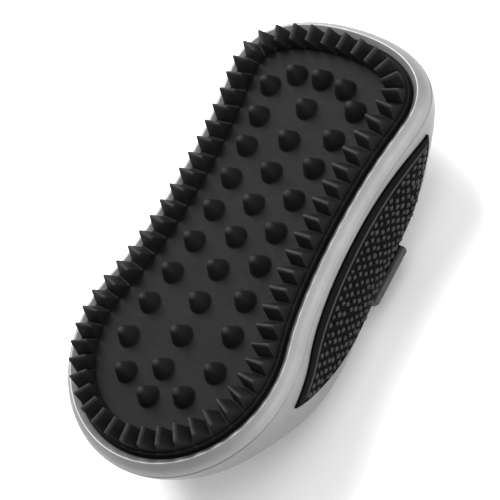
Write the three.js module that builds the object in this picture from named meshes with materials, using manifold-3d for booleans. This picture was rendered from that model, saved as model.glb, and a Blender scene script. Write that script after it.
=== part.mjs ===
// Curry comb for horses: a black rubber working pad in a silver plastic body.
// The comb lies on its back with the working face up. Millimetres, +Z up, +Y along
// the comb towards its narrower end. The origin is under its middle, at the back's crown.
import * as THREE from 'three';
import { mergeVertices } from 'three/addons/utils/BufferGeometryUtils.js';
import Module from 'manifold-3d';

const wasm = await Module();
wasm.setup();

// ---- Driving dimensions -------------------------------------------------------------
const FIT = 0.3; // gap between pieces that touch
const LOBE_RADIUS = 40.7; // rim opening, wide lobe
const LOBE_Y = -40.1; // centre of the wide lobe
const LOBE_END_ANGLE = THREE.MathUtils.degToRad(18); // where the lobe turns into the waist
const WAIST_HALF_WIDTH = 33.5;
const WAIST_Y = 18;
const HEAD_HALF_WIDTH = 37.1; // narrower lobe, half a squarish ellipse
const HEAD_HALF_LENGTH = 22.3;
const HEAD_Y = 58.5;
const HEAD_SIDE_FULLNESS = 0.76; // an ellipse has 0.55 for both
const HEAD_END_FULLNESS = 0.5;
const RIM_EASES = [13, 14, 24, 6]; // lengths of the curve handles from lobe to head
const STATIONS = 52; // points round an outline

const PAD_FLOOR_Z = 44; // pad floor above the crown of the back
const PAD_THICKNESS = 4;
const NUB_SIDES = 8;
const NUB_PROFILE = [[3.75, 0], [1.3, 5.9], [0.5, 6.6]]; // radius, height
// Middle column of nubs, then the pairs beside it, as [x, y] on the right side.
const NUB_COLUMN = [61, 49.6, 37.2, 24.8, 12.4, 0, -12.4, -24.8, -37.2, -49.6, -59.8];
const NUB_PAIRS = [
  [10.3, 60], [18.2, 53.7], [16, 42.1], [14.4, 30.8], [13.5, 18.4], [13.4, 6],
  [14.2, -6.3], [15.8, -18.9], [18.1, -31.2], [18.9, -44.3], [12.6, -55.4],
];
const TOOTH_COUNT = 62;
const TOOTH_HEIGHT = 7;
const TOOTH_ROOT_HEIGHT = 0.7; // the valleys stand a little above the floor
const TOOTH_RING_OFFSET = -3.4; // outer ends of the teeth, inwards from the rim opening
const TOOTH_RING_WIDTH = 6.2;
const TOOTH_END_STRETCH = 1.11; // teeth are this much wider round the two ends
const PAD_EDGE_OFFSET = -2.45; // the floor ends here, and a groove runs to the bezel
const FLANGE_TOP_Z = 41.4;
const FLANGE_OFFSET = 0.7; // the pad's edge and the carrier's, outwards from the rim opening
const BURIED = 0.5; // how far the nubs and teeth reach down into the pad

const BEZEL_WIDTH = 3.4;
const BEZEL_LIP_OFFSET = -1.6; // its inner edge, low beside the pad
const BEZEL_LIP_Z = 42.2;
const BEZEL_SLOPE = [[0.5, 43.9], [1.2, 43], [2.2, 41.5], [3, 40.1]]; // crest and outside
const SKIRT_OUTER = 1.7; // the bezel's foot drops inside the shell's edge
const SKIRT_DEPTH = 0.9;
const PARTING_Z = 38.8; // top edge of the back shell
const SHELL_WALL = 2.6;
const SHELL_LEVELS = 9;
const CROWN_FLAT_X = 0.4; // part of the width and length that stays flat at the crown
const CROWN_FLAT_Y = 0.45;
const CROWN_POWER_X = 2.7; // roundness of the cross and long sections
const CROWN_POWER_Y = 1.65;

const GRIP_PROUD = 0.9;
const GRIP_SUNK = 0.8;
const GRIP_STUD_RADIUS = 1.6;
const GRIP_STUDS = [[-16, 27], [36, 27]]; // y, z
const GRIP_STUD_INNER_X = 34;
const GRIP_HOLE_INNER_X = 30; // the stud holes go right through the wall
const GRIP_STUD_OUTER_X = 46; // cut back to the grip's own face
const LEAF_TIPS = [[-42.5, 32], [57.5, 34]]; // y, z of a side grip's two ends
const LEAF_FRONT = [[-22, 38.6], [34, 39]]; // curve handles of its front edge
const LEAF_BACK = [[51, 7.5], [-21, 6]]; // and of its back edge
const LEAF_CUT_X = [18, 58]; // the leaf is cut straight through the dome's side

const STRAP_Y = 14.5;
const STRAP_WIDTH = 21.5;
const STRAP_TOP_Z = 12;
const STRAP_THICKNESS = 2.4;
const STRAP_TAIL_X = 22; // inner end of the tails that are clamped inside the shell
// Layers of the strap and its channel, outwards from the back: beside it, at its crown.
const STRAP_OUTER = [4, -0.5];
const STRAP_INNER = [1.3, -3];
const CHANNEL_FLOOR = [0.8, -3.3];
const CHANNEL_POSTS = [0, -4.5];
const CHANNEL_INSIDE = [-1.8, -5.7];
const CLAMP_X = 27;
const CLAMP_SIZE = [8, 19, 2];
const CLAMP_SCREW_SPACING = 12;
const CLAMP_SCREW_LENGTH = 7;

const CARRIER_THICKNESS = 2.5;
const BOSS_RADIUS = 3.4;
const BOSS_PLACES = [[24, -50], [24, -3], [22, 52]]; // right side, mirrored to the left
const CARRIER_SCREW_LENGTH = 11;
const SCREW_SHANK_RADIUS = 1.2;
const SCREW_HEAD_RADIUS = 2.6;
const SCREW_HEAD_HEIGHT = 1.4;
const SCREW_SIDES = 8;

const silver = { color: 0xb9babb, roughness: 0.38, metalness: 0.55 };
const rubber = { color: 0x232425, roughness: 0.8, metalness: 0 };
const softGrip = { color: 0x19191a, roughness: 0.7, metalness: 0 };
const nylon = { color: 0x2c2d2f, roughness: 0.6, metalness: 0 };
const steel = { color: 0x9a9ca0, roughness: 0.35, metalness: 1 };

// ---- Solids from rings of points ----------------------------------------------------
function toManifold(positions, indices) {
  const mesh = new wasm.Mesh({
    numProp: 3,
    vertProperties: new Float32Array(positions),
    triVerts: new Uint32Array(indices),
  });
  const solid = new wasm.Manifold(mesh);
  if (solid.volume() >= 0) return solid;
  for (let i = 0; i < indices.length; i += 3) {
    [indices[i], indices[i + 1]] = [indices[i + 1], indices[i]];
  }
  return toManifold(positions, indices);
}

// Walls between rings of equally many points. wrap joins the last ring to the first.
function wallIndices(ringCount, pointCount, wrap) {
  const indices = [];
  const last = wrap ? ringCount : ringCount - 1;
  for (let r = 0; r < last; r++) {
    for (let i = 0; i < pointCount; i++) {
      const j = (i + 1) % pointCount;
      const a = r * pointCount;
      const b = ((r + 1) % ringCount) * pointCount;
      indices.push(a + i, a + j, b + j, a + i, b + j, b + i);
    }
  }
  return indices;
}

// A stack of level rings, closed by flat caps.
function loft(rings) {
  const count = rings[0].length;
  const indices = wallIndices(rings.length, count, false);
  const cap = (ring, start, flip) => {
    const flat = ring.map((p) => new THREE.Vector2(p.x, p.y));
    for (const [a, b, c] of THREE.ShapeUtils.triangulateShape(flat, [])) {
      indices.push(start + a, start + (flip ? c : b), start + (flip ? b : c));
    }
  };
  cap(rings[0], 0, true);
  cap(rings.at(-1), (rings.length - 1) * count, false);
  return toManifold(rings.flat().flatMap((p) => [p.x, p.y, p.z]), indices);
}

// A closed frame: the section at each station is a list of [offset, z].
function frame(outline, sectionAt) {
  const rings = outline.map((p, i) =>
    sectionAt(i).map(([offset, z]) => [p.x + p.nx * offset, p.y + p.ny * offset, z]),
  );
  return toManifold(rings.flat(2), wallIndices(rings.length, rings[0].length, true));
}

// A three.js geometry as a solid.
function solidOf(geometry) {
  const bare = geometry.clone();
  bare.deleteAttribute('normal');
  bare.deleteAttribute('uv');
  const welded = mergeVertices(bare, 1e-4);
  return toManifold(welded.attributes.position.array, Array.from(welded.index.array));
}

function box(size, centre) {
  return solidOf(new THREE.BoxGeometry(...size).translate(...centre));
}

// A round bar standing on z = low.
function bar(radius, x, y, low, high, sides = SCREW_SIDES) {
  const geometry = new THREE.CylinderGeometry(radius, radius, high - low, sides);
  return solidOf(geometry.rotateX(Math.PI / 2).translate(x, y, (low + high) / 2));
}

// ---- Outlines -----------------------------------------------------------------------
// Half outline from the bottom end to the top end, mirrored to the other side.
function closedOutline(halfCurve, count) {
  const half = halfCurve.getSpacedPoints(count / 2);
  const back = half.slice(1, -1).reverse();
  const points = [...half, ...back.map((p) => ({ x: -p.x, y: p.y }))];
  return withNormals(points);
}

function withNormals(points) {
  return points.map((p, i) => {
    const before = points.at(i - 1);
    const after = points[(i + 1) % points.length];
    const length = Math.hypot(after.x - before.x, after.y - before.y);
    return { x: p.x, y: p.y, nx: (after.y - before.y) / length, ny: (before.x - after.x) / length };
  });
}

// The rim opening: wide lobe, waist and narrower head.
function rimHalf() {
  const [lobeEase, waistEaseIn, waistEaseOut, headEase] = RIM_EASES;
  const lobeX = LOBE_RADIUS * Math.cos(LOBE_END_ANGLE);
  const lobeY = LOBE_Y + LOBE_RADIUS * Math.sin(LOBE_END_ANGLE);
  const path = new THREE.Path();
  path.absarc(0, LOBE_Y, LOBE_RADIUS, -Math.PI / 2, LOBE_END_ANGLE);
  path.bezierCurveTo(
    lobeX - lobeEase * Math.sin(LOBE_END_ANGLE), lobeY + lobeEase * Math.cos(LOBE_END_ANGLE),
    WAIST_HALF_WIDTH, WAIST_Y - waistEaseIn,
    WAIST_HALF_WIDTH, WAIST_Y,
  );
  path.bezierCurveTo(
    WAIST_HALF_WIDTH, WAIST_Y + waistEaseOut,
    HEAD_HALF_WIDTH, HEAD_Y - headEase,
    HEAD_HALF_WIDTH, HEAD_Y,
  );
  path.bezierCurveTo(
    HEAD_HALF_WIDTH, HEAD_Y + HEAD_SIDE_FULLNESS * HEAD_HALF_LENGTH,
    HEAD_END_FULLNESS * HEAD_HALF_WIDTH, HEAD_Y + HEAD_HALF_LENGTH,
    0, HEAD_Y + HEAD_HALF_LENGTH,
  );
  return path;
}

// The palm side is a plain egg with hardly any waist.
function palmHalf() {
  const end = LOBE_RADIUS - LOBE_Y + BEZEL_WIDTH;
  const points = [
    [0, -end], [24, -75.5], [39.5, -54], [43.6, -34], [43.4, -15],
    [41.2, 8], [40, 28], [39.5, 46], [34.5, 67], [20, 80], [0, end],
  ];
  return new THREE.SplineCurve(points.map(([x, y]) => new THREE.Vector2(x, y)));
}

const rim = closedOutline(rimHalf(), STATIONS);
const palm = closedOutline(palmHalf(), STATIONS);

function offsetRing(outline, offset, z) {
  return outline.map((p) => new THREE.Vector3(p.x + p.nx * offset, p.y + p.ny * offset, z));
}

function plate(outline, offset, low, high) {
  return loft([offsetRing(outline, offset, low), offsetRing(outline, offset, high)]);
}

// ---- The domed back -----------------------------------------------------------------
// side and crown grow the dome outwards or, when negative, shrink it. It stands up past
// the parting plane by rise.
function dome(side, crown, rise = 0) {
  const rings = [];
  if (rise > 0) rings.push(offsetRing(rim, BEZEL_WIDTH + side, PARTING_Z + rise));
  for (let level = 0; level <= SHELL_LEVELS; level++) {
    const depth = Math.sin((level / SHELL_LEVELS) * Math.PI / 2);
    const round = (power, flat) => flat + (1 - flat) * (1 - depth ** power) ** (1 / power);
    const scaleX = round(CROWN_POWER_X, CROWN_FLAT_X);
    const scaleY = round(CROWN_POWER_Y, CROWN_FLAT_Y);
    const blend = THREE.MathUtils.smoothstep(depth, 0, 0.6);
    const section = withNormals(rim.map((p, i) => ({
      x: scaleX * THREE.MathUtils.lerp(p.x + p.nx * BEZEL_WIDTH, palm[i].x, blend),
      y: scaleY * THREE.MathUtils.lerp(p.y + p.ny * BEZEL_WIDTH, palm[i].y, blend),
    })));
    rings.push(offsetRing(section, side, PARTING_Z - depth * (PARTING_Z + crown)));
  }
  return loft(rings);
}

const mirrored = (solid) => solid.mirror([1, 0, 0]);
const bossPlaces = [...BOSS_PLACES, ...BOSS_PLACES.map(([x, y]) => [-x, y])];
const clampPlaces = [1, -1].map((side) => [side * CLAMP_X, STRAP_Y]);
const clampScrewPlaces = clampPlaces.flatMap(([x, y]) =>
  [-1, 1].map((end) => [x, y + (end * CLAMP_SCREW_SPACING) / 2]),
);
const carrierTop = PAD_FLOOR_Z - PAD_THICKNESS - FIT;
const carrierLow = carrierTop - CARRIER_THICKNESS;
const strapLow = STRAP_TOP_Z - STRAP_THICKNESS;
const clampScrewSeat = STRAP_TOP_Z + CLAMP_SIZE[2] + 2 * FIT;

// The leaf of a side grip, seen from the side, cut through the wall along X.
function leafPrism(margin) {
  const [[lowY, lowZ], [highY, highZ]] = LEAF_TIPS;
  const [[front1Y, front1Z], [front2Y, front2Z]] = LEAF_FRONT;
  const [[back1Y, back1Z], [back2Y, back2Z]] = LEAF_BACK;
  const start = [lowY - margin, lowZ];
  const end = [highY + margin, highZ];
  const leaf = new THREE.Shape();
  leaf.moveTo(...start);
  leaf.bezierCurveTo(front1Y, front1Z + margin, front2Y, front2Z + margin, ...end);
  leaf.bezierCurveTo(back1Y + margin, back1Z - margin, back2Y - margin, back2Z - margin, ...start);
  const [cutInner, cutOuter] = LEAF_CUT_X;
  const depth = cutOuter - cutInner;
  const geometry = new THREE.ExtrudeGeometry(leaf, { depth, bevelEnabled: false, curveSegments: 12 });
  // Shape x, y and the extrusion become Y, Z and X.
  const turn = new THREE.Matrix4().makeBasis(
    new THREE.Vector3(0, 1, 0), new THREE.Vector3(0, 0, 1), new THREE.Vector3(1, 0, 0),
  );
  return solidOf(geometry.applyMatrix4(turn).translate(cutInner, 0, 0));
}

function gripStuds(radius, innerX) {
  return GRIP_STUDS.map(([y, z]) => {
    const length = GRIP_STUD_OUTER_X - innerX;
    const geometry = new THREE.CylinderGeometry(radius, radius, length, SCREW_SIDES);
    return solidOf(geometry.rotateZ(Math.PI / 2).translate(innerX + length / 2, y, z));
  });
}

function strapBand(width, sideOuter, crownOuter) {
  const slab = box([100, width, STRAP_TOP_Z + 10], [0, STRAP_Y, (STRAP_TOP_Z - 10) / 2]);
  return slab.intersect(dome(sideOuter, crownOuter, 1));
}

// ---- Pieces -------------------------------------------------------------------------
function gripRight() {
  let grip = dome(GRIP_PROUD, GRIP_PROUD).subtract(dome(-GRIP_SUNK, -GRIP_SUNK, 1));
  grip = grip.intersect(leafPrism(0));
  const outside = dome(-GRIP_SUNK + 0.4, -GRIP_SUNK + 0.4);
  for (const stud of gripStuds(GRIP_STUD_RADIUS, GRIP_STUD_INNER_X)) {
    grip = grip.add(stud.intersect(outside));
  }
  return grip;
}

function backShell() {
  let shell = dome(0, 0);
  // Shallow channel across the back for the strap.
  const channel = box([120, STRAP_WIDTH + 2 * FIT, 40], [0, STRAP_Y, -6]);
  shell = shell.subtract(channel.subtract(dome(...CHANNEL_FLOOR, 1)));
  // The inside, kept shallower behind the channel.
  const thickBand = box([120, STRAP_WIDTH + 5, 30], [0, STRAP_Y, 0]);
  let cavity = dome(-SHELL_WALL, -SHELL_WALL, 2);
  cavity = cavity.subtract(thickBand.subtract(dome(...CHANNEL_INSIDE, 1)));
  // The rim is rabbeted for the carrier and for the bezel's skirt.
  cavity = cavity.add(plate(rim, FLANGE_OFFSET + FIT, carrierLow - FIT, PARTING_Z));
  cavity = cavity.add(plate(rim, SKIRT_OUTER + FIT, PARTING_Z - SKIRT_DEPTH - FIT, PARTING_Z + 2));
  shell = shell.subtract(cavity);
  // Posts for the carrier and for the strap clamps.
  const inside = dome(-0.8, -0.8);
  const postTop = carrierLow - FIT;
  for (const [x, y] of bossPlaces) {
    shell = shell.add(bar(BOSS_RADIUS, x, y, 0, postTop).intersect(inside));
    const pilotLow = postTop - CARRIER_SCREW_LENGTH;
    shell = shell.subtract(bar(SCREW_SHANK_RADIUS + FIT, x, y, pilotLow, postTop + 1));
  }
  const innerChannel = dome(...CHANNEL_POSTS);
  for (const [x, y] of clampScrewPlaces) {
    shell = shell.add(bar(BOSS_RADIUS, x, y, 0, strapLow - FIT).intersect(innerChannel));
  }
  for (const [x, y] of clampScrewPlaces) {
    const pilotLow = clampScrewSeat - CLAMP_SCREW_LENGTH - FIT;
    shell = shell.subtract(bar(SCREW_SHANK_RADIUS + FIT, x, y, pilotLow, strapLow + 1));
  }
  // Side features: grip recess, stud holes and the strap's slot.
  const recessLayer = dome(6, 6).subtract(dome(-GRIP_SUNK - FIT, -GRIP_SUNK - FIT, 1));
  let cuts = recessLayer.intersect(leafPrism(FIT + 0.1));
  for (const hole of gripStuds(GRIP_STUD_RADIUS + FIT, GRIP_HOLE_INNER_X)) cuts = cuts.add(hole);
  const slotHeight = STRAP_THICKNESS + 2 * FIT;
  const slot = box(
    [25, STRAP_WIDTH + 2 * FIT, slotHeight],
    [37.5, STRAP_Y, strapLow - FIT + slotHeight / 2],
  );
  cuts = cuts.add(slot);
  return shell.subtract(cuts).subtract(mirrored(cuts));
}

function handStrap() {
  const inside = strapBand(STRAP_WIDTH + 2, ...STRAP_INNER);
  const strap = strapBand(STRAP_WIDTH, ...STRAP_OUTER).subtract(inside);
  const outer = strapBand(STRAP_WIDTH, 3, -1);
  const tail = box(
    [40 - STRAP_TAIL_X, STRAP_WIDTH, STRAP_THICKNESS],
    [(40 + STRAP_TAIL_X) / 2, STRAP_Y, strapLow + STRAP_THICKNESS / 2],
  ).intersect(outer);
  let whole = strap.add(tail).add(mirrored(tail));
  for (const [x, y] of clampScrewPlaces) {
    whole = whole.subtract(bar(SCREW_SHANK_RADIUS + FIT, x, y, strapLow - 0.2, STRAP_TOP_Z + 1));
  }
  return whole;
}

function strapClamp(x, y) {
  let clamp = box(CLAMP_SIZE, [x, y, STRAP_TOP_Z + FIT + CLAMP_SIZE[2] / 2]);
  for (const end of [-1, 1]) {
    const screwY = y + (end * CLAMP_SCREW_SPACING) / 2;
    clamp = clamp.subtract(bar(SCREW_SHANK_RADIUS + FIT, x, screwY, 0, STRAP_TOP_Z + 10));
  }
  return clamp;
}

function padCarrier() {
  let carrier = plate(rim, FLANGE_OFFSET, carrierLow, carrierTop);
  for (const [x, y] of bossPlaces) {
    carrier = carrier.subtract(bar(SCREW_SHANK_RADIUS + FIT, x, y, 0, PAD_FLOOR_Z));
    const seat = carrierTop - SCREW_HEAD_HEIGHT - FIT;
    carrier = carrier.subtract(bar(SCREW_HEAD_RADIUS + FIT, x, y, seat, PAD_FLOOR_Z));
  }
  return carrier;
}

function frontBezel() {
  const skirtLow = PARTING_Z - SKIRT_DEPTH;
  const skirtInner = FLANGE_OFFSET + FIT;
  const foot = PARTING_Z + FIT;
  const lipLow = FLANGE_TOP_Z + FIT;
  const section = [
    [BEZEL_LIP_OFFSET, lipLow], [BEZEL_LIP_OFFSET, BEZEL_LIP_Z],
    ...BEZEL_SLOPE,
    [BEZEL_WIDTH, foot], [SKIRT_OUTER, foot], [SKIRT_OUTER, skirtLow],
    [skirtInner, skirtLow], [skirtInner, lipLow],
  ];
  return frame(rim, () => section);
}

function nub(x, y) {
  const [baseRadius] = NUB_PROFILE[0];
  const [, height] = NUB_PROFILE.at(-1);
  const profile = [[0, -BURIED], [baseRadius, -BURIED], ...NUB_PROFILE, [0, height]];
  const points = profile.map(([r, z]) => new THREE.Vector2(r, z));
  const geometry = new THREE.LatheGeometry(points, NUB_SIDES).rotateX(Math.PI / 2);
  return solidOf(geometry.translate(x, y, PAD_FLOOR_Z));
}

// Valley and crest in turn. They are spaced evenly along a narrowed copy of the line
// through their outer ends, so that those round the two ends of the comb are wider.
function toothRing() {
  const fine = closedOutline(rimHalf(), 240).slice(0, 121);
  const narrowed = fine.map((p) => new THREE.Vector2(
    (p.x + p.nx * TOOTH_RING_OFFSET) / TOOTH_END_STRETCH,
    p.y + p.ny * TOOTH_RING_OFFSET,
  ));
  const spaced = closedOutline(new THREE.SplineCurve(narrowed), TOOTH_COUNT * 2);
  const crown = withNormals(spaced.map((p) => ({ x: p.x * TOOTH_END_STRETCH, y: p.y })));
  const inner = -TOOTH_RING_WIDTH;
  const root = PAD_FLOOR_Z - BURIED;
  return frame(crown, (i) => {
    const top = PAD_FLOOR_Z + (i % 2 ? TOOTH_HEIGHT : TOOTH_ROOT_HEIGHT);
    return [[0, root], [0, top], [inner, top], [inner, root]];
  });
}

function rubberPad() {
  const low = PAD_FLOOR_Z - PAD_THICKNESS;
  let pad = plate(rim, PAD_EDGE_OFFSET, low, PAD_FLOOR_Z);
  pad = pad.add(plate(rim, FLANGE_OFFSET, low, FLANGE_TOP_Z));
  pad = pad.add(toothRing());
  const places = [
    ...NUB_COLUMN.map((y) => [0, y]),
    ...NUB_PAIRS,
    ...NUB_PAIRS.map(([x, y]) => [-x, y]),
  ];
  return wasm.Manifold.union([pad, ...places.map(([x, y]) => nub(x, y))]);
}

// A pan-head screw: head on z = seat, shank below it.
function screw(x, y, seat, length) {
  const profile = [
    [0, -length], [SCREW_SHANK_RADIUS * 0.4, -length], [SCREW_SHANK_RADIUS, -length + 1.5],
    [SCREW_SHANK_RADIUS, 0], [SCREW_HEAD_RADIUS, 0], [SCREW_HEAD_RADIUS, SCREW_HEAD_HEIGHT - 0.5],
    [SCREW_HEAD_RADIUS - 0.7, SCREW_HEAD_HEIGHT], [0, SCREW_HEAD_HEIGHT],
  ];
  const points = profile.map(([r, z]) => new THREE.Vector2(r, z));
  const geometry = new THREE.LatheGeometry(points, SCREW_SIDES).rotateX(Math.PI / 2);
  return solidOf(geometry.translate(x, y, seat));
}

// ---- Scene graph --------------------------------------------------------------------
function toGeometry(solid) {
  const { vertProperties, triVerts } = solid.getMesh();
  const geometry = new THREE.BufferGeometry();
  geometry.setAttribute('position', new THREE.BufferAttribute(vertProperties, 3));
  geometry.setIndex(new THREE.BufferAttribute(triVerts, 1));
  return geometry;
}

const comb = new THREE.Group();

function addPiece(name, solid, look) {
  const mesh = new THREE.Mesh(toGeometry(solid), new THREE.MeshStandardMaterial(look));
  mesh.name = name;
  comb.add(mesh);
}

const grip = gripRight();
addPiece('rubber_pad', rubberPad(), rubber);
addPiece('front_bezel', frontBezel(), silver);
addPiece('back_shell', backShell(), silver);
addPiece('pad_carrier', padCarrier(), nylon);
addPiece('grip_right', grip, softGrip);
addPiece('grip_left', mirrored(grip), softGrip);
addPiece('hand_strap', handStrap(), softGrip);
clampPlaces.forEach(([x, y], i) => {
  addPiece(`strap_clamp_${i ? 'left' : 'right'}`, strapClamp(x, y), nylon);
});
bossPlaces.forEach(([x, y], i) => {
  const seat = carrierTop - SCREW_HEAD_HEIGHT;
  addPiece(`carrier_screw_${i + 1}`, screw(x, y, seat, CARRIER_SCREW_LENGTH), steel);
});
clampScrewPlaces.forEach(([x, y], i) => {
  addPiece(`strap_screw_${i + 1}`, screw(x, y, clampScrewSeat, CLAMP_SCREW_LENGTH), steel);
});

export default comb;
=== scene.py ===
"""Curry comb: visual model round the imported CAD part. The comb lies on its back, face up."""
import math

import bmesh
import bpy
import numpy as np
from mathutils import Matrix, Vector


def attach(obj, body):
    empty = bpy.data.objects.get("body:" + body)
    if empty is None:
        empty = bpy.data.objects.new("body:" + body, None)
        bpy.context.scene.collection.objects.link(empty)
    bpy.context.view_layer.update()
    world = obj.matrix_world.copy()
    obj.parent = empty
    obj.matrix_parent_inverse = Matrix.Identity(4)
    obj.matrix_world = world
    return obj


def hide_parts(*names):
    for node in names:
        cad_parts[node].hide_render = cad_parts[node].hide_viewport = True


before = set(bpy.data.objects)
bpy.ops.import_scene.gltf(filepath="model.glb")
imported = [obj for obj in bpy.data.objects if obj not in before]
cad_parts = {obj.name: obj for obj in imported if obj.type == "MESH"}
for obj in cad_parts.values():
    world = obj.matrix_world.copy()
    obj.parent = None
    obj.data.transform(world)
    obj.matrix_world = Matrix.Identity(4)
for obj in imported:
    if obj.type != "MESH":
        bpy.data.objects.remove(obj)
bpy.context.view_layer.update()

MM = 0.001
BODY = "root"


# ---- Camera --------------------------------------------------------------------------
CAMERA_LENS = 142.51
CAMERA_PLACE = (0.38209, -0.12609, 0.55582)
CAMERA_RIGHT = (0.76172, 0.47208, -0.44376)
CAMERA_UP = (-0.28885, 0.86051, 0.41962)
CAMERA_BACK = (0.57996, -0.19145, 0.79183)


def add_camera():
    data = bpy.data.cameras.new("camera")
    data.sensor_width = 36
    data.lens = CAMERA_LENS
    data.clip_start, data.clip_end = 0.02, 20
    camera = bpy.data.objects.new("camera", data)
    bpy.context.scene.collection.objects.link(camera)
    place = Matrix((CAMERA_RIGHT, CAMERA_UP, CAMERA_BACK)).transposed().to_4x4()
    place.translation = CAMERA_PLACE
    camera.matrix_world = place
    bpy.context.scene.camera = camera


add_camera()
bpy.context.scene.view_settings.view_transform = "Standard"


# ---- Materials -----------------------------------------------------------------------
class Look:
    """A node material on one Principled shader, in object coordinates (metres)."""

    def __init__(self, name, **sockets):
        self.material = bpy.data.materials.new(name)
        self.material.use_nodes = True
        self.tree = self.material.node_tree
        self.shader = self.tree.nodes["Principled BSDF"]
        for socket, value in sockets.items():
            self.shader.inputs[socket.replace("_", " ")].default_value = value
        self.coords = self.tree.nodes.new("ShaderNodeTexCoord").outputs["Object"]

    def node(self, kind, **inputs):
        made = self.tree.nodes.new("ShaderNode" + kind)
        for key, value in inputs.items():
            socket = made.inputs[key.replace("_", " ")]
            if isinstance(value, bpy.types.NodeSocket):
                self.tree.links.new(value, socket)
            else:
                socket.default_value = value
        return made

    def noise(self, size, detail=3.0, roughness=0.5, stretch=(1, 1, 1)):
        """Noise with features of about size metres."""
        place = self.node("Mapping", Vector=self.coords, Scale=stretch)
        return self.node(
            "TexNoise", Vector=place.outputs[0], Scale=1 / size, Detail=detail, Roughness=roughness
        ).outputs["Fac"]

    def cells(self, size):
        return self.node("TexVoronoi", Vector=self.coords, Scale=1 / size).outputs["Distance"]

    def ramp(self, value, stops):
        """A colour ramp from (position, grey or RGB) stops."""
        node = self.node("ValToRGB", Fac=value)
        band = node.color_ramp
        while len(band.elements) < len(stops):
            band.elements.new(0.5)
        for element, (position, colour) in zip(band.elements, stops):
            element.position = position
            rgb = (colour,) * 3 if isinstance(colour, (int, float)) else colour
            element.color = (*rgb, 1)
        return node.outputs["Color"]

    def span(self, value, low, high, to_low=0.0, to_high=1.0):
        node = self.node("MapRange", Value=value)
        for index, number in zip((1, 2, 3, 4), (low, high, to_low, to_high)):
            node.inputs[index].default_value = number
        return node.outputs[0]

    def height(self, low, high):
        """0 to 1 between two heights above the ground."""
        z = self.node("SeparateXYZ", Vector=self.coords).outputs["Z"]
        return self.span(z, low, high)

    def product(self, a, b):
        node = self.tree.nodes.new("ShaderNodeMath")
        node.operation = "MULTIPLY"
        self.tree.links.new(a, node.inputs[0])
        self.tree.links.new(b, node.inputs[1])
        return node.outputs[0]

    def mix(self, factor, a, b, blend="MIX"):
        node = self.tree.nodes.new("ShaderNodeMix")
        node.data_type = "RGBA"
        node.blend_type = blend
        # Sockets 6 and 7 are the two colours, and output 2 is the mixed one.
        for index, value in ((0, factor), (6, a), (7, b)):
            socket = node.inputs[index]
            if isinstance(value, bpy.types.NodeSocket):
                self.tree.links.new(value, socket)
            else:
                socket.default_value = (*value, 1) if isinstance(value, tuple) else value
        return node.outputs[2]

    def set(self, socket, value):
        self.tree.links.new(value, self.shader.inputs[socket])

    def bump(self, *layers):
        """Each layer is (height, depth in metres, strength)."""
        normal = None
        for height, depth, strength in layers:
            node = self.node("Bump", Height=height, Distance=depth, Strength=strength)
            if normal is not None:
                self.tree.links.new(normal, node.inputs["Normal"])
            normal = node.outputs["Normal"]
        self.set("Normal", normal)


def rubber_look(name, dark, light, rough, shine, wear_and_highlight=None):
    """Moulded rubber: mottled charcoal with fine pebbling, and above a height a patchy lighter
    colour that is partly wear and partly a painted highlight.

    wear_and_highlight is (height where the lighter colour starts, height where it is full, lighter
    colour)."""
    look = Look(name, IOR=1.5, Specular_IOR_Level=shine)
    cloud = look.noise(0.011, 4, 0.6)
    grain = look.noise(0.00035, 2)
    pores = look.cells(0.0009)
    colour = look.ramp(cloud, [(0.3, dark), (0.7, light)])
    speckle = look.ramp(grain, [(0.35, 0.8), (0.75, 1.25)])
    colour = look.mix(0.8, colour, speckle, "MULTIPLY")
    if wear_and_highlight:
        low, high, tone = wear_and_highlight
        # Painted highlight mixed with wear: the colour gets lighter above the height, for the light
        # the tips catch as well as for rubbing.
        patches = look.span(look.noise(0.0016), 0.3, 0.7, 0.45, 1)
        colour = look.mix(look.product(look.height(low, high), patches), colour, tone)
    look.set("Base Color", colour)
    look.set("Roughness", look.span(look.noise(0.0022, 4), 0.25, 0.75, rough - 0.04, rough + 0.04))
    look.bump((pores, 0.00004, 0.35), (grain, 0.00003, 0.5))
    return look.material


def silver_look():
    """Satin silver paint: metal flakes, faint orange peel, light scuffs, and painted shade
    darkening its creases and seams.
    """
    look = Look("silver_paint", Metallic=0.55, IOR=1.5, Coat_Weight=0.05, Coat_Roughness=0.4)
    flake = look.cells(0.00022)
    cloud = look.noise(0.02, 3)
    base = look.ramp(cloud, [(0.3, (0.21, 0.211, 0.208)), (0.7, (0.24, 0.241, 0.238))])
    sparkle = look.ramp(flake, [(0.0, 1.12), (0.6, 0.88)])
    colour = look.mix(0.55, base, sparkle, "MULTIPLY")
    scuffs = look.noise(0.0008, 5, 0.7, (1, 0.06, 1))
    marks = look.ramp(scuffs, [(0.62, 0.0), (0.72, 0.35)])
    colour = look.mix(marks, colour, (0.19, 0.19, 0.187))
    # Painted shade: ambient occlusion darkens the colour to near black in creases, seams and the
    # parting gap.
    crease_shade = look.node("AmbientOcclusion", Distance=0.0011).outputs["AO"]
    colour = look.mix(look.span(crease_shade, 0.3, 0.62), (0.02, 0.02, 0.02), colour)
    look.set("Base Color", colour)
    look.set("Roughness", look.span(look.noise(0.003, 4), 0.3, 0.7, 0.46, 0.56))
    look.bump((look.noise(0.0012, 2), 0.00004, 0.25), (flake, 0.00001, 0.3))
    return look.material


def nylon_look():
    """Glass-filled nylon for the hidden pieces: matt, with flow lines."""
    look = Look("black_nylon", IOR=1.53)
    flow = look.noise(0.004, 4, 0.6, (1, 0.15, 1))
    look.set("Base Color", look.ramp(flow, [(0.3, 0.018), (0.7, 0.032)]))
    look.set("Roughness", look.span(look.noise(0.0007), 0.3, 0.7, 0.45, 0.65))
    look.bump((look.noise(0.0005), 0.00003, 0.4))
    return look.material


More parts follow.
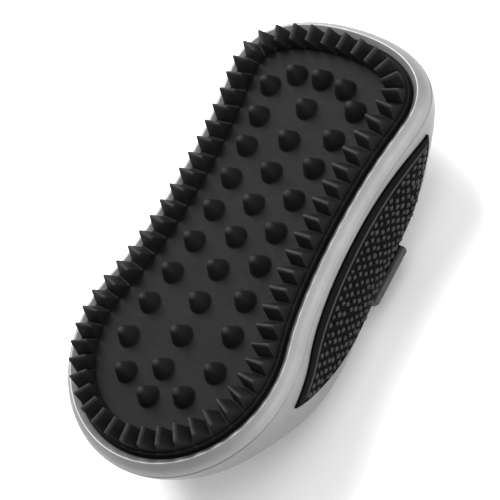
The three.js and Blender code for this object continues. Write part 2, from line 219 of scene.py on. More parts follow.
def steel_look():
    """Zinc-plated screw steel."""
    look = Look("screw_steel", Metallic=1.0)
    cloud = look.noise(0.0015, 4)
    look.set("Base Color", look.ramp(cloud, [(0.3, (0.5, 0.51, 0.53)), (0.7, (0.68, 0.68, 0.66))]))
    look.set("Roughness", look.span(cloud, 0.3, 0.7, 0.25, 0.45))
    look.bump((look.noise(0.0003), 0.00001, 0.3))
    return look.material


PAD_WEAR_AND_HIGHLIGHT = (0.0496, 0.0509, (0.034, 0.034, 0.034))  # wear and painted highlight, lighter on the tips of the teeth and nubs
PAD_RUBBER = rubber_look("pad_rubber", 0.0085, 0.0115, 0.6, 0.05, PAD_WEAR_AND_HIGHLIGHT)
# The grip's face, bumps and bead are one rubber: the face is painted darker than the bumps and bead
# as painted shade between them; the bumps are also glossier.
GRIP_FIELD_SHADED_RUBBER = rubber_look("grip_rubber", 0.002, 0.003, 0.55, 0.03)
BUMP_LIT_RUBBER = rubber_look("grip_bump_rubber", 0.004, 0.0065, 0.34, 0.3)
# Painted light: the strap is the same charcoal rubber, made lighter to stand in for the light on
# its shadowed face.
STRAP_RUBBER_PAINTED_LIGHT = rubber_look("strap_rubber", 0.042, 0.052, 0.55, 0.15)
SILVER = silver_look()
NYLON = nylon_look()
STEEL = steel_look()


# ---- Outlines, in millimetres --------------------------------------------------------
LOBE_RADIUS, LOBE_Y, LOBE_END = 40.7, -40.1, math.radians(18)
WAIST_HALF_WIDTH, WAIST_Y = 33.5, 18
HEAD_HALF_WIDTH, HEAD_HALF_LENGTH, HEAD_Y = 37.1, 22.3, 58.5
HEAD_SIDE_FULLNESS, HEAD_END_FULLNESS = 0.76, 0.5
RIM_EASES = 13, 14, 24, 6  # lengths of the curve handles from the lobe to the head
PALM = (
    (24, -75.5), (39.5, -54), (43.6, -34), (43.4, -15), (41.2, 8),
    (40, 28), (39.5, 46), (34.5, 67), (20, 80),
)
BEZEL_WIDTH = 3.4
FLOOR_Z = 44
PARTING_Z = 38.8
STATIONS = 288


def bezier(*handles, steps=80):
    """Points along a cubic, without the first."""
    t = np.linspace(0, 1, steps + 1)[1:, None]
    a, b, c, d = (np.array(h, float) for h in handles)
    return (1 - t) ** 3 * a + 3 * (1 - t) ** 2 * t * b + 3 * (1 - t) * t**2 * c + t**3 * d


def rim_half():
    """The rim opening's right half, from the wide end to the head's end."""
    turn = np.linspace(-math.pi / 2, LOBE_END, 120)
    arc = np.c_[LOBE_RADIUS * np.cos(turn), LOBE_Y + LOBE_RADIUS * np.sin(turn)]
    lobe = arc[-1]
    waist = np.array((WAIST_HALF_WIDTH, WAIST_Y))
    head = np.array((HEAD_HALF_WIDTH, HEAD_Y))
    end = np.array((0, HEAD_Y + HEAD_HALF_LENGTH))
    first, second, third, fourth = RIM_EASES
    leaving = np.array((-math.sin(LOBE_END), math.cos(LOBE_END)))
    parts = [
        arc,
        bezier(lobe, lobe + first * leaving, waist - (0, second), waist),
        bezier(waist, waist + (0, third), head - (0, fourth), head),
        bezier(
            head, head + (0, HEAD_SIDE_FULLNESS * HEAD_HALF_LENGTH),
            end + (HEAD_END_FULLNESS * HEAD_HALF_WIDTH, 0), end,
        ),
    ]
    return np.vstack(parts)


def palm_half():
    """The palm side's half outline: an egg through a few points."""
    reach = LOBE_RADIUS - LOBE_Y + BEZEL_WIDTH
    points = np.array([(0, -reach), *PALM, (0, reach)], float)
    padded = np.vstack([points[:1], points, points[-1:]])
    t = np.linspace(0, 1, 31)[1:, None]
    out = [points[:1]]
    for a, b, c, d in zip(padded, padded[1:], padded[2:], padded[3:]):
        v, w = (c - a) / 2, (d - b) / 2
        out.append((2 * b - 2 * c + v + w) * t**3 + (-3 * b + 3 * c - 2 * v - w) * t**2 + v * t + b)
    return np.vstack(out)


def run_along(points):
    """The length of an open line up to each of its points."""
    return np.r_[0, np.cumsum(np.hypot(*np.diff(points, axis=0).T))]


def resample(points, count):
    """An open line again, in count steps of equal length."""
    run = run_along(points)
    at = np.linspace(0, run[-1], count + 1)
    return np.c_[np.interp(at, run, points[:, 0]), np.interp(at, run, points[:, 1])]


def closed(half, count):
    """Half an outline, evenly spaced and mirrored into a ring of count points."""
    right = resample(half, count // 2)
    return np.vstack([right, right[-2:0:-1] * (-1, 1)])


def normals(ring):
    """Outward unit normals of a ring that runs anticlockwise."""
    along = np.roll(ring, -1, 0) - np.roll(ring, 1, 0)
    along /= np.linalg.norm(along, axis=1)[:, None]
    return np.c_[along[:, 1], -along[:, 0]]


def grown(ring, offset):
    """A ring moved outwards by offset."""
    return ring + normals(ring) * offset


RIM = closed(rim_half(), STATIONS)
PALM_RING = closed(palm_half(), STATIONS)


# ---- The domed back ------------------------------------------------------------------
CROWN_FLAT = np.array((0.4, 0.45))  # size of the flat crown, as a part of the outline
CROWN_POWER = np.array((2.7, 1.65))
PALM_DEPTH = 0.6  # depth at which the outline has turned into the palm's


def dome_ring(depth, side):
    """The dome's level outline at depth 0 (parting line) to 1 (crown), grown by side."""
    scale = CROWN_FLAT + (1 - CROWN_FLAT) * (1 - depth**CROWN_POWER) ** (1 / CROWN_POWER)
    t = min(depth / PALM_DEPTH, 1)
    blend = t * t * (3 - 2 * t)
    return grown(scale * ((1 - blend) * grown(RIM, BEZEL_WIDTH) + blend * PALM_RING), side)


def dome_depths(levels):
    """Depths from 0 to 1, closer together towards the crown."""
    return np.sin(np.linspace(0, 1, levels + 1) * math.pi / 2)


def dome_rings(side, crown, levels):
    """Dome rings as (x, y, z) arrays, from the parting line down to the crown."""
    out = []
    for depth in dome_depths(levels):
        ring = dome_ring(depth, side)
        z = PARTING_Z - depth * (PARTING_Z + crown)
        out.append(np.c_[ring, np.full(len(ring), z)])
    return out


class DomeSide:
    """How far out the dome's right side is, at any y and z."""

    DEPTHS = np.linspace(0, 0.97, 240)
    YS = np.linspace(-86, 86, 690)

    def __init__(self, side, crown):
        self.crown = crown
        rows = []
        for depth in self.DEPTHS:
            right = dome_ring(depth, side)[: STATIONS // 2 + 1]
            rows.append(np.interp(self.YS, right[:, 1], right[:, 0]))
        self.x = np.array(rows)

    def __call__(self, y, z):
        depth = (PARTING_Z - np.asarray(z)) / (PARTING_Z + self.crown)
        row = np.clip(depth / self.DEPTHS[-1] * (len(self.DEPTHS) - 1), 0, len(self.DEPTHS) - 1.001)
        step = self.YS[1] - self.YS[0]
        column = np.clip((np.asarray(y) - self.YS[0]) / step, 0, len(self.YS) - 1.001)
        i, j = row.astype(int), column.astype(int)
        a, b = row - i, column - j
        low = self.x[i, j] * (1 - b) + self.x[i, j + 1] * b
        high = self.x[i + 1, j] * (1 - b) + self.x[i + 1, j + 1] * b
        return low * (1 - a) + high * a


# ---- Mesh helpers --------------------------------------------------------------------
def piece(name, verts, faces, look, slot=None, stands_for=(), sharp=35):
    """A mesh object from millimetres. With a slot it is kept and rides on the comb."""
    mesh = bpy.data.meshes.new(name)
    mesh.from_pydata((np.asarray(verts, float) * MM).tolist(), [], [list(f) for f in faces])
    bm = bmesh.new()
    bm.from_mesh(mesh)
    bmesh.ops.recalc_face_normals(bm, faces=bm.faces)
    bm.to_mesh(mesh)
    bm.free()
    obj = bpy.data.objects.new(name, mesh)
    bpy.context.scene.collection.objects.link(obj)
    mesh.materials.append(look)
    smooth(obj, sharp)
    if slot:
        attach(obj, BODY)
    if stands_for:
        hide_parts(*stands_for)
    return obj


def smooth(obj, degrees):
    """Smooth shading, with edges sharper than this angle left crisp."""
    mesh = obj.data
    mesh.polygons.foreach_set("use_smooth", [True] * len(mesh.polygons))
    bm = bmesh.new()
    bm.from_mesh(mesh)
    limit = math.radians(degrees)
    for edge in bm.edges:
        edge.smooth = len(edge.link_faces) != 2 or edge.calc_face_angle(0) < limit
    bm.to_mesh(mesh)
    bm.free()


def wall_faces(rings, points, wrap_rings, wrap_points=True, start=0):
    """Quads between rows of equally many points."""
    faces = []
    for r in range(rings if wrap_rings else rings - 1):
        for i in range(points if wrap_points else points - 1):
            a, b = start + r * points, start + ((r + 1) % rings) * points
            j = (i + 1) % points
            faces.append((a + i, a + j, b + j, b + i))
    return faces


def tube_faces(rows, points):
    """Quads between closed rows of points, with a face over each end."""
    faces = wall_faces(rows, points, False)
    return [*faces, range(points), range((rows - 1) * points, rows * points)]


def tip_faces(start, points):
    """Triangles from a ring that begins at start to the one point after it."""
    return [(start + i, start + (i + 1) % points, start + points) for i in range(points)]


def slab_faces(rows, columns):
    """Two grids of points, one behind the other, joined round their edge."""
    total = rows * columns
    faces = wall_faces(rows, columns, False, False)
    faces += wall_faces(rows, columns, False, False, start=total)
    edge = [i * columns for i in range(rows)]
    edge += [(rows - 1) * columns + j for j in range(1, columns)]
    edge += [i * columns + columns - 1 for i in range(rows - 2, -1, -1)]
    edge += range(columns - 2, 0, -1)
    faces += [(a, b, b + total, a + total) for a, b in zip(edge, edge[1:] + edge[:1])]
    return faces


def eased_steps(steps):
    """0 to 1 in steps that are closer together at both ends."""
    return (1 - np.cos(np.linspace(0, math.pi, steps + 1))) / 2


def level_rings(outline, section):
    """Rings of the outline grown by each (offset, z) of a section."""
    normal = normals(outline)
    return [np.c_[outline + normal * o, np.full(len(outline), z)] for o, z in section]


def apply_modifiers(obj):
    depsgraph = bpy.context.evaluated_depsgraph_get()
    mesh = bpy.data.meshes.new_from_object(obj.evaluated_get(depsgraph))
    obj.modifiers.clear()
    old, obj.data = obj.data, mesh
    bpy.data.meshes.remove(old)


def cut(obj, tools):
    """Cuts the tools out of obj, and removes them."""
    for tool in tools:
        modifier = obj.modifiers.new("cut", "BOOLEAN")
        modifier.operation = "DIFFERENCE"
        modifier.solver = "EXACT"
        modifier.object = tool
        apply_modifiers(obj)
        bpy.data.objects.remove(tool)


def bevelled(obj, width, segments, degrees):
    modifier = obj.modifiers.new("bevel", "BEVEL")
    modifier.width = width * MM
    modifier.segments = segments
    modifier.limit_method = "ANGLE"
    modifier.angle_limit = math.radians(degrees)
    modifier.use_clamp_overlap = True
    apply_modifiers(obj)


def fillet(points, radius, steps=4):
    """Rounds the corners of a closed section of (offset, z) points."""
    out = []
    for before, here, after in zip([points[-1], *points], points, [*points[1:], points[0]]):
        before, here, after = np.array(before), np.array(here), np.array(after)
        a, b = before - here, after - here
        reach = min(radius, 0.45 * np.hypot(*a), 0.45 * np.hypot(*b))
        p = here + a / np.hypot(*a) * reach
        q = here + b / np.hypot(*b) * reach
        for t in np.linspace(0, 1, steps + 1):
            out.append(tuple((1 - t) ** 2 * p + 2 * t * (1 - t) * here + t * t * q))
    return out


# ---- Rubber pad ----------------------------------------------------------------------
PAD_LOW_Z = 40
FLANGE_OFFSET, FLANGE_TOP_Z = 0.7, 41.4
PAD_EDGE_OFFSET = -2.45
LIP_HEIGHT = 0.16


def add_pad_sheet():
    """Floor with a beaded lip round it, the groove beside it and the clamped flange."""
    edge = PAD_EDGE_OFFSET
    section = [
        (FLANGE_OFFSET, PAD_LOW_Z), (FLANGE_OFFSET, FLANGE_TOP_Z - 0.2),
        (FLANGE_OFFSET - 0.2, FLANGE_TOP_Z), (edge + 0.5, FLANGE_TOP_Z),
        (edge + 0.2, FLANGE_TOP_Z + 0.12), (edge + 0.05, FLANGE_TOP_Z + 0.4),
        (edge, FLANGE_TOP_Z + 1), (edge, FLOOR_Z - 0.35), (edge - 0.04, FLOOR_Z - 0.1),
        (edge - 0.14, FLOOR_Z + 0.08), (edge - 0.3, FLOOR_Z + LIP_HEIGHT),
        (edge - 0.5, FLOOR_Z + LIP_HEIGHT - 0.02), (edge - 0.68, FLOOR_Z + 0.06),
        (edge - 0.85, FLOOR_Z), (edge - 2, FLOOR_Z), (edge - 9, FLOOR_Z),
    ]
    rings = level_rings(RIM, section)
    faces = tube_faces(len(rings), STATIONS)
    piece("pad_sheet", np.vstack(rings), faces, PAD_RUBBER, "pad_rubber", ["rubber_pad"])


NUB_COLUMN = 61, 49.6, 37.2, 24.8, 12.4, 0, -12.4, -24.8, -37.2, -49.6, -59.8
NUB_PAIRS = (
    (10.3, 60), (18.2, 53.7), (16, 42.1), (14.4, 30.8), (13.5, 18.4), (13.4, 6),
    (14.2, -6.3), (15.8, -18.9), (18.1, -31.2), (18.9, -44.3), (12.6, -55.4),
)
NUB_PROFILE = (  # (radius, height over the floor)
    (4.25, -0.1), (4.05, 0.04), (3.86, 0.22), (3.72, 0.55), (3.55, 1.1), (3.2, 2.0), (2.8, 3.0),
    (2.36, 4.0), (1.93, 4.9), (1.55, 5.6), (1.18, 6.12), (0.8, 6.42), (0.4, 6.57),
)
NUB_SIDES = 40
NUB_TOP = 6.6


def add_nubs():
    """The rounded rubber cones."""
    places = [(0, y) for y in NUB_COLUMN]
    places += [(s * x, y) for x, y in NUB_PAIRS for s in (1, -1)]
    turn = np.linspace(0, 2 * math.pi, NUB_SIDES, endpoint=False)
    around = np.c_[np.cos(turn), np.sin(turn)]
    verts, faces = [], []
    for x, y in places:
        start = len(verts)
        for radius, z in NUB_PROFILE:
            ring = around * radius + (x, y)
            verts += [(*p, FLOOR_Z + z) for p in ring]
        faces += wall_faces(len(NUB_PROFILE), NUB_SIDES, False, start=start)
        faces += tip_faces(len(verts) - NUB_SIDES, NUB_SIDES)
        verts.append((x, y, FLOOR_Z + NUB_TOP))
        faces.append(range(start, start + NUB_SIDES))
    piece("pad_nubs", verts, faces, PAD_RUBBER, "pad_rubber")


TOOTH_COUNT, TOOTH_HEIGHT, TOOTH_ROOT_HEIGHT = 62, 7, 0.7
TOOTH_RING_OFFSET, TOOTH_RING_WIDTH, TOOTH_END_STRETCH = -3.4, 6.2, 1.11
CREST_HALF, VALLEY_HALF = 0.055, 0.045  # flats along the ring, as parts of the pitch
TOOTH_LEAN = 0.11  # of the crests on the right side towards the wide end, as a part of the pitch
TOOTH_EDGE_ROUND = 0.22
STEPS_PER_TOOTH = 40


def add_teeth():
    """The ring of blunt wedge teeth round the floor, with a narrow flat between two."""
    fine = grown(closed(rim_half(), 960), TOOTH_RING_OFFSET)
    half = fine[: len(fine) // 2 + 1] / (TOOTH_END_STRETCH, 1)
    ring = closed(half, STEPS_PER_TOOTH * TOOTH_COUNT) * (TOOTH_END_STRETCH, 1)
    normal = normals(ring)
    places = []
    for tooth in range(TOOTH_COUNT):
        lean = TOOTH_LEAN * max(0, normal[int((tooth + 0.5) * STEPS_PER_TOOTH)][0])
        places += [(tooth - VALLEY_HALF, 0), (tooth + VALLEY_HALF, 0)]
        places += [(tooth + 0.5 - lean + s * CREST_HALF, 1) for s in (-1, 1)]
    root, low, high = FLOOR_Z - 0.5, FLOOR_Z + TOOTH_ROOT_HEIGHT, FLOOR_Z + TOOTH_HEIGHT
    verts = []
    for place, crest in places:
        i = round(place * STEPS_PER_TOOTH) % len(ring)
        p, n = ring[i], normal[i]
        top = high if crest else low
        inner = p - n * TOOTH_RING_WIDTH
        verts += [(*p, root), (*p, top), (*inner, top), (*inner, root)]
    faces = wall_faces(len(places), 4, True)
    teeth = piece("pad_teeth", verts, faces, PAD_RUBBER, "pad_rubber")
    bevelled(teeth, TOOTH_EDGE_ROUND, 3, 25)
    smooth(teeth, 32)


# ---- Front bezel ---------------------------------------------------------------------
BEZEL_BULGE = 0.5  # how far its outer slope stands out from a straight line
BEZEL_EDGE_ROUND = 0.25
BEZEL_CREST = 0.55, 43.8  # (offset from the rim, z)
BEZEL_LIP_OFFSET = -1.6
BEZEL_SKIRT_OFFSETS, BEZEL_SKIRT_Z = (1.0, 1.7), 37.9
PARTING_GAP = 0.38


def add_bezel():
    """Silver rim: a sloping inner edge, a soft crest and a steep outer face."""
    lip_low, foot = FLANGE_TOP_Z + 0.3, PARTING_Z + PARTING_GAP
    inner = [(BEZEL_LIP_OFFSET, lip_low), (BEZEL_LIP_OFFSET, 42.2), (0.1, 43.75)]
    crest, toe = np.array(BEZEL_CREST), np.array((BEZEL_WIDTH, foot))
    along = (toe - crest) / np.linalg.norm(toe - crest)
    share = np.linspace(0, 1, 9)
    slope = crest + share[:, None] * (toe - crest)
    slope += np.sin(share * math.pi)[:, None] * BEZEL_BULGE * np.array((-along[1], along[0]))
    near, far = BEZEL_SKIRT_OFFSETS
    under = [(far, foot), (far, BEZEL_SKIRT_Z), (near, BEZEL_SKIRT_Z), (near, lip_low)]
    section = fillet(inner + [tuple(p) for p in slope] + under, BEZEL_EDGE_ROUND)
    normal = normals(RIM)
    verts = [(*(p + n * o), z) for p, n in zip(RIM, normal) for o, z in section]
    faces = wall_faces(STATIONS, len(section), True)
    piece("bezel", verts, faces, SILVER, "silver_body", ["front_bezel"], sharp=50)


# ---- Side grips ----------------------------------------------------------------------
LEAF_TIPS = np.array([(-42.5, 32), (57.5, 34)])
LEAF_FRONT = np.array([(-22, 38.6), (34, 39)])
LEAF_BACK = np.array([(-21, 6), (51, 7.5)])
GRIP_PROUD, GRIP_DEPTH = 0.9, 0.8  # out from the dome and into it
GRIP_OUT = DomeSide(GRIP_PROUD, GRIP_PROUD)


def leaf(margin, u, v):
    """Points (y, z) of the leaf: u runs from the low tip to the high one, v from front to back."""
    low, high = LEAF_TIPS + ((-margin, 0), (margin, 0))
    u, v = np.asarray(u)[..., None], np.asarray(v)[..., None]
    weights = (1 - u) ** 3, 3 * (1 - u) ** 2 * u, 3 * (1 - u) * u**2, u**3
    front = LEAF_FRONT + (0, margin)
    back = LEAF_BACK + ((-margin, -margin), (margin, -margin))
    a = weights[0] * low + weights[1] * front[0] + weights[2] * front[1] + weights[3] * high
    b = weights[0] * low + weights[1] * back[0] + weights[2] * back[1] + weights[3] * high
    return a * (1 - v) + b * v


def leaf_slab(inner, outer, margin, across=24, along=120):
    """A closed slab over the leaf, between two dome layers, as verts and faces."""
    u = 0.0015 + 0.997 * eased_steps(along)
    v = np.linspace(0, 1, across + 1)
    grid_u, grid_v = np.meshgrid(u, v, indexing="ij")
    yz = leaf(margin, grid_u, grid_v).reshape(-1, 2)
    near = np.c_[inner(yz[:, 0], yz[:, 1]), yz]
    far = np.c_[outer(yz[:, 0], yz[:, 1]), yz]
    return np.vstack([near, far]), slab_faces(along + 1, across + 1)


BEAD_DEPTH = 3.0  # from the grip's front edge down to the raised bead
BEAD_HALF_HEIGHT, BEAD_HALF_WIDTH, BEAD_SINK, BEAD_SIDES = 0.6, 0.5, 0.28, 12
BUMP_FIRST = 4.9  # from the grip's front edge down to the first row
BUMP_ROWS, BUMP_RINGS, BUMP_SIDES = 14, 5, 12
BUMP_PITCH_ACROSS, BUMP_PITCH_ALONG = 2.1, 3.3
BUMP_HALF_LENGTH, BUMP_HALF_WIDTH, BUMP_HEIGHT, BUMP_SINK = 1.15, 0.9, 0.9, 0.42
BUMP_JITTER, BUMP_SIZES = (0.3, 0.16), (0.78, 1.1)
EDGE_MARGIN = 0.9
GRIP_EDGE_ROUND, GRIP_EDGE_DROP, GRIP_FIELD_DROP = 0.55, 0.42, 0.32


def grip_relief(distance_front, distance_edge):
    """The grip's face against its full height: a rounded edge and a sunk field of bumps."""
    edge = np.clip(distance_edge / GRIP_EDGE_ROUND, 0, 1)
    drop = GRIP_EDGE_DROP * (1 - np.sqrt(1 - (1 - edge) ** 2))
    sunk = GRIP_FIELD_DROP / (1 + np.exp(-(distance_front - BEAD_DEPTH) / 0.12))
    return -drop - sunk * (1 - np.exp(-((distance_edge / 0.9) ** 2)))


def leaf_edges():
    """Front and back edge of the leaf as dense (y, z) lines."""
    u = np.linspace(0, 1, 800)
    return leaf(0, u, np.zeros_like(u)), leaf(0, u, np.ones_like(u))


FRONT_EDGE, BACK_EDGE = leaf_edges()


def surface_point(y, z):
    """Points of the grip's face at arrays y, z."""
    return np.c_[GRIP_OUT(y, z), y, z]


def surface_frame(y, z):
    """Unit normal and along-the-comb tangent of the grip's face at arrays y, z."""
    step = 0.2
    dy = surface_point(y + step, z) - surface_point(y - step, z)
    dz = surface_point(y, z + step) - surface_point(y, z - step)
    normal = np.cross(dy, dz)
    normal /= np.linalg.norm(normal, axis=1)[:, None]
    along = dy / np.linalg.norm(dy, axis=1)[:, None]
    return normal, along


def nearest(points, line):
    """How far each point is from the nearest point of a line."""
    gap = points[:, None, :] - line[None, :, :]
    return np.sqrt((gap**2).sum(2)).min(1)


def add_grip(side, name, node):
    """Soft side grip: smooth border, raised bead and a field of small oval bumps."""
    inner = DomeSide(-GRIP_DEPTH, -GRIP_DEPTH)
    along, across = 260, 96
    u = 0.0012 + 0.9976 * eased_steps(along)
    v = 0.35 * eased_steps(across) + 0.65 * np.linspace(0, 1, across + 1)
    grid_u, grid_v = np.meshgrid(u, v, indexing="ij")
    yz = leaf(0, grid_u, grid_v).reshape(-1, 2)
    front = nearest(yz, FRONT_EDGE[::2])
    edge = np.minimum(front, nearest(yz, BACK_EDGE[::2]))
    normal, _ = surface_frame(yz[:, 0], yz[:, 1])
    face = surface_point(yz[:, 0], yz[:, 1]) + normal * grip_relief(front, edge)[:, None]
    under = np.c_[inner(yz[:, 0], yz[:, 1]), yz]
    verts = np.vstack([face, under]) * (side, 1, 1)
    faces = slab_faces(along + 1, across + 1)
    piece(name, verts, faces, GRIP_FIELD_SHADED_RUBBER, "grip_rubber", [node])
    add_bead(side, name + "_bead")
    add_bumps(side, name + "_bumps")


def down_the_face(y, z, depth):
    """The height reached by going depth down the grip's face from (y, z)."""
    zs = z - np.linspace(0, 36, 361)
    xs = GRIP_OUT(np.full_like(zs, y), zs)
    return np.interp(depth, run_along(np.c_[xs, zs]), zs)


def add_bead(side, name):
    """The raised line inside the grip's front edge."""
    line = np.array([(y, down_the_face(y, z, BEAD_DEPTH)) for y, z in FRONT_EDGE[24:-24:6]])
    line = line[nearest(line, BACK_EDGE) > 1.3]
    normal, along = surface_frame(line[:, 0], line[:, 1])
    across = np.cross(normal, along)
    centre = surface_point(line[:, 0], line[:, 1]) - normal * BEAD_SINK
    turn = np.linspace(0, 2 * math.pi, BEAD_SIDES, endpoint=False)
    from_end = np.minimum(np.arange(len(line)), np.arange(len(line))[::-1])
    size = np.minimum(1, from_end / 3 + 0.3)
    verts = [
        c + r * (n * math.cos(t) * BEAD_HALF_HEIGHT + a * math.sin(t) * BEAD_HALF_WIDTH)
        for c, n, a, r in zip(centre, normal, across, size) for t in turn
    ]
    faces = tube_faces(len(line), BEAD_SIDES)
    piece(name, np.array(verts) * (side, 1, 1), faces, BUMP_LIT_RUBBER, "grip_rubber", sharp=80)


def bump_centres(rng):
    """Staggered places (y, z) in rows that follow the grip's front edge, a little uneven."""
    centres = []
    run = run_along(FRONT_EDGE)
    for row in range(BUMP_ROWS):
        depth = BUMP_FIRST + row * BUMP_PITCH_ACROSS
        start = BUMP_PITCH_ALONG * (0.5 if row % 2 else 0.0)
        for s in np.arange(start, run[-1], BUMP_PITCH_ALONG):
            y = np.interp(s, run, FRONT_EDGE[:, 0])
            z = np.interp(s, run, FRONT_EDGE[:, 1])
            centres.append((y, down_the_face(y, z, depth)))
    centres = np.array(centres)
    low = np.interp(centres[:, 0], BACK_EDGE[:, 0], BACK_EDGE[:, 1])
    inside = nearest(centres, FRONT_EDGE) > BUMP_FIRST - 1.2
    inside &= nearest(centres, BACK_EDGE) > EDGE_MARGIN
    inside &= centres[:, 1] > low + EDGE_MARGIN
    centres = centres[inside]
    return centres + rng.normal(0, BUMP_JITTER, centres.shape)


def add_bumps(side, name):
    """The grip's small oval bumps."""
    rng = np.random.default_rng(7)
    centres = bump_centres(rng)
    normal, along = surface_frame(centres[:, 0], centres[:, 1])
    across = np.cross(normal, along)
    place = surface_point(centres[:, 0], centres[:, 1]) - normal * BUMP_SINK
    turn = np.linspace(0, 2 * math.pi, BUMP_SIDES, endpoint=False)
    verts, faces = [], []
    for p, n, a, c in zip(place, normal, along, across):
        start = len(verts)
        size = rng.uniform(*BUMP_SIZES)
        for k in range(BUMP_RINGS):
            rise = math.sin(k / BUMP_RINGS * math.pi / 2)
            spread = math.cos(k / BUMP_RINGS * math.pi / 2) ** 0.75
            for t in turn:
                verts.append(
                    p + n * (rise * BUMP_HEIGHT)
                    + a * (math.cos(t) * spread * BUMP_HALF_LENGTH * size)
                    + c * (math.sin(t) * spread * BUMP_HALF_WIDTH * size)
                )
        verts.append(p + n * BUMP_HEIGHT)
        faces += wall_faces(BUMP_RINGS, BUMP_SIDES, False, start=start)
        faces += tip_faces(start + (BUMP_RINGS - 1) * BUMP_SIDES, BUMP_SIDES)
        faces.append(range(start, start + BUMP_SIDES))
    piece(name, np.array(verts) * (side, 1, 1), faces, BUMP_LIT_RUBBER, "grip_rubber", sharp=80)


# ---- Back shell ----------------------------------------------------------------------
STRAP_Y, STRAP_WIDTH = 14.5, 21.5
STRAP_TOP_Z, STRAP_THICKNESS = 12, 2.4
STRAP_CLEARANCE = 0.6
STRAP_END_ROUND, STRAP_END_THINNING = 3.2, 0.8
TAIL_LENGTH, TAIL_X = 17, 30.5
TAIL_Z = STRAP_TOP_Z - STRAP_THICKNESS / 2
SHELL_THICKNESS = 2.6
SHELL_LEDGE_Z = 36.9
SHELL_EDGE_ROUND = 0.35
RECESS_DEPTH, RECESS_MARGIN = 1.1, 0.35
CHANNEL_FLOOR = 0.8, -3.3  # as a dome's side and crown
SLOT_LENGTH, SLOT_X = 25, 37.5


def solid_dome(name, side, crown, levels, rise):
    """A closed solid dome that reaches rise above the parting line, for cutting."""
    rings = dome_rings(side, crown, levels)
    top = rings[0] + (0, 0, rise)
    rings.insert(0, top)
    return piece(name, np.vstack(rings), tube_faces(len(rings), STATIONS), SILVER)


def box(name, size, centre):
    """A box of the given size round its centre."""
    corners = [
        [c + s * h / 2 for c, s, h in zip(centre, signs, size)]
        for signs in ((-1, -1, -1), (1, -1, -1), (1, 1, -1), (-1, 1, -1),
                      (-1, -1, 1), (1, -1, 1), (1, 1, 1), (-1, 1, 1))
    ]
    faces = [(0, 3, 2, 1), (4, 5, 6, 7), (0, 1, 5, 4), (1, 2, 6, 5), (2, 3, 7, 6), (3, 0, 4, 7)]
    return piece(name, corners, faces, SILVER)


def add_shell():
    """The silver back: a thin dome with grip recesses and a channel for the strap."""
    outer = dome_rings(0, 0, 44)
    inner = dome_rings(-SHELL_THICKNESS, -SHELL_THICKNESS, 20)
    for ring in inner:
        ring[:, 2] = np.minimum(ring[:, 2], SHELL_LEDGE_Z)
    lip = level_rings(
        RIM, [(2.0, SHELL_LEDGE_Z), (2.0, PARTING_Z), (BEZEL_WIDTH - 0.3, PARTING_Z)]
    )
    outer[0][:, 2] -= SHELL_EDGE_ROUND
    rings = inner[:0:-1] + lip + outer
    faces = tube_faces(len(rings), STATIONS)
    shell = piece("shell", np.vstack(rings), faces, SILVER, "silver_body", ["back_shell"])
    gap_width = STRAP_WIDTH + STRAP_CLEARANCE
    channel = box("channel", (120, gap_width, 40), (0, STRAP_Y, -6))
    cut(channel, [solid_dome("channel_floor", *CHANNEL_FLOOR, 44, 1)])
    tools = [channel]
    recess_floor = DomeSide(-RECESS_DEPTH, -RECESS_DEPTH)
    verts, faces = leaf_slab(recess_floor, DomeSide(6, 6), RECESS_MARGIN)
    for side in (1, -1):
        tools.append(piece("recess", verts * (side, 1, 1), faces, SILVER))
        size = SLOT_LENGTH, gap_width, STRAP_THICKNESS + STRAP_CLEARANCE
        tools.append(box("slot", size, (side * SLOT_X, STRAP_Y, TAIL_Z)))
    cut(shell, tools)
    smooth(shell, 28)


# ---- Hand strap ----------------------------------------------------------------------
def add_strap():
    """Rubber hand strap: a band in its channel with a groove near each edge, and two tails."""
    outer = dome_section(4, -0.5)
    inner = dome_section(1.3, -3)
    half = STRAP_WIDTH / 2
    across = [
        (-half, 0.0), (-half, 0.35), (-half + 0.12, 0.72), (-half + 0.4, 0.93), (-half + 0.8, 1.0),
        (-half + 2.2, 1.0), (-half + 2.5, 0.93), (-half + 2.8, 0.93), (-half + 3.1, 1.0),
    ]
    across += [(-y, t) for y, t in reversed(across)]
    run = run_along(outer)
    from_end = np.minimum(1, np.minimum(run, run[-1] - run) / STRAP_END_ROUND)
    fullness = 1 - STRAP_END_THINNING * (1 - np.sqrt(1 - (1 - from_end) ** 2))
    verts = []
    for o, i, full in zip(outer, inner, fullness):
        for y, t in across:
            x, z = i * (1 - t * full) + o * t * full
            verts.append((x, STRAP_Y + y, z))
    faces = tube_faces(len(outer), len(across))
    piece("strap", verts, faces, STRAP_RUBBER_PAINTED_LIGHT, "strap_rubber", ["hand_strap"], sharp=60)
    for side, word in ((1, "right"), (-1, "left")):
        size = TAIL_LENGTH, STRAP_WIDTH, STRAP_THICKNESS
        tail = box("strap_tail_" + word, size, (side * TAIL_X, STRAP_Y, TAIL_Z))
        tail.data.materials[0] = STRAP_RUBBER_PAINTED_LIGHT
        bevelled(tail, 0.4, 3, 30)
        smooth(tail, 40)
        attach(tail, BODY)


def dome_section(side, crown, steps=420):
    """(x, z) across the dome at the strap from one shoulder's top to the other's."""
    depths = dome_depths(399)
    zs = PARTING_Z - depths * (PARTING_Z + crown)
    xs = []
    for depth in depths:
        right = dome_ring(depth, side)[: STATIONS // 2 + 1]
        xs.append(np.interp(STRAP_Y, right[:, 1], right[:, 0]))
    xs = np.array(xs)
    below = zs <= STRAP_TOP_Z
    start = np.interp(-STRAP_TOP_Z, -zs, xs), STRAP_TOP_Z
    right = np.vstack([start, np.c_[xs[below], zs[below]]])
    return resample(np.vstack([right, right[::-1] * (-1, 1)]), steps - 1)


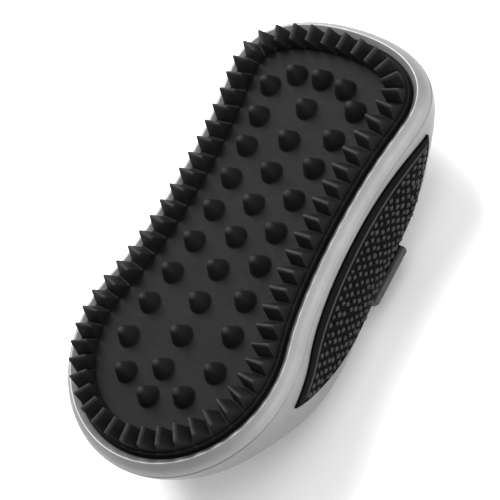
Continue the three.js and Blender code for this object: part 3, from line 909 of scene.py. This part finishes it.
# ---- Build ---------------------------------------------------------------------------
add_pad_sheet()
add_nubs()
add_teeth()
add_bezel()
add_shell()
add_grip(1, "grip_right_visual", "grip_right")
add_grip(-1, "grip_left_visual", "grip_left")
add_strap()

for node_name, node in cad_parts.items():
    inside_look = None
    if node_name == "pad_carrier" or node_name.startswith("strap_clamp"):
        inside_look = NYLON
    elif "_screw_" in node_name:
        inside_look = STEEL
    if inside_look:
        node.data.materials.clear()
        node.data.materials.append(inside_look)


# ---- Stage ---------------------------------------------------------------------------
FLOOR_HALF = 3.0
FLOOR_DROP = 0.0005


def add_floor():
    look = Look("studio_floor", Roughness=0.7)
    cloud = look.noise(0.05, 3)
    look.set("Base Color", look.ramp(cloud, [(0.3, 0.93), (0.7, 0.94)]))
    corners = [
        (x * FLOOR_HALF, y * FLOOR_HALF, -FLOOR_DROP)
        for x, y in ((-1, -1), (1, -1), (1, 1), (-1, 1))
    ]
    mesh = bpy.data.meshes.new("floor")
    mesh.from_pydata(corners, [], [(0, 1, 2, 3)])
    floor = bpy.data.objects.new("floor", mesh)
    mesh.materials.append(look.material)
    bpy.context.scene.collection.objects.link(floor)


LIGHT_AIM = Vector((0, 0, 0.03))


def add_light(name, place, size, power):
    """A soft rectangular lamp that faces the comb."""
    data = bpy.data.lights.new(name, "AREA")
    data.shape = "RECTANGLE"
    data.size, data.size_y = size
    data.energy = power
    lamp = bpy.data.objects.new(name, data)
    bpy.context.scene.collection.objects.link(lamp)
    lamp.location = place
    lamp.rotation_mode = "QUATERNION"
    lamp.rotation_quaternion = (LIGHT_AIM - Vector(place)).to_track_quat("-Z", "Y")


def add_world():
    world = bpy.data.worlds.new("studio")
    world.use_nodes = True
    background = world.node_tree.nodes["Background"]
    background.inputs["Color"].default_value = (1, 1, 1, 1)
    background.inputs["Strength"].default_value = 0.5
    bpy.context.scene.world = world


add_floor()
add_world()
add_light("key", (-0.6, 0.35, 0.95), (0.8, 0.8), 26)
add_light("fill", (0.5, 0.3, 1.1), (0.9, 0.9), 6)
add_light("side", (1.0, 0.1, 0.24), (1.3, 0.14), 7)
